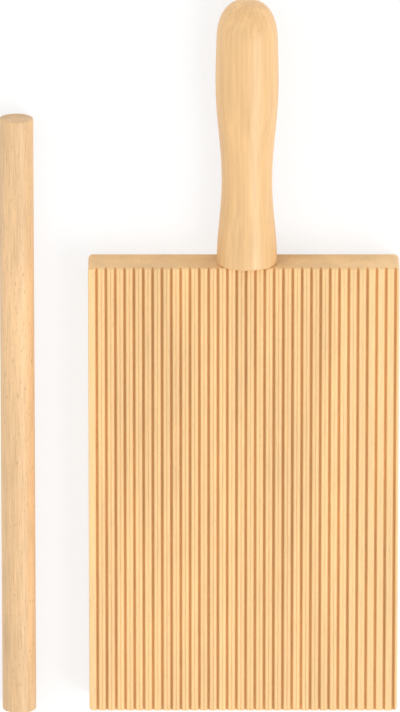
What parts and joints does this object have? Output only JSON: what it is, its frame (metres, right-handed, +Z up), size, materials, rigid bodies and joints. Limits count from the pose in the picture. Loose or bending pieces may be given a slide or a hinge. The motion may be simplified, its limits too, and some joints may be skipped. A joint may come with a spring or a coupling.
{
  "type": "gnocchi board",
  "caption": "Flat wooden board with a face of parallel grooves, a turned handle pinned into one end, and a loose round rolling stick for shaping pasta.",
  "frame": {"origin": "centre of the board's underside, on the table", "axes": "+Z up out of the grooved face, +Y along the grooves towards the handle, +X to the right with the handle away from the viewer"},
  "size_m": [0.1285, 0.2405, 0.0205],
  "materials": {
    "board_wood": "planed and sanded, bare",
    "handle_wood": "turned, fine sanded, thin wax",
    "pin_wood": "fluted, bare",
    "stick_wood": "sanded, bare"
  },
  "bodies": {
    "board": {"grooved_board": "board_wood", "turned_handle": "handle_wood", "joint_pin": "pin_wood"},
    "stick": {"rolling_stick": "stick_wood"}
  },
  "joints": [
    {"name": "stick_lift", "type": "slide", "parent": "board", "child": "stick", "axis": [0, 0, 1], "range_m": [0, 0.08]}
  ]
}
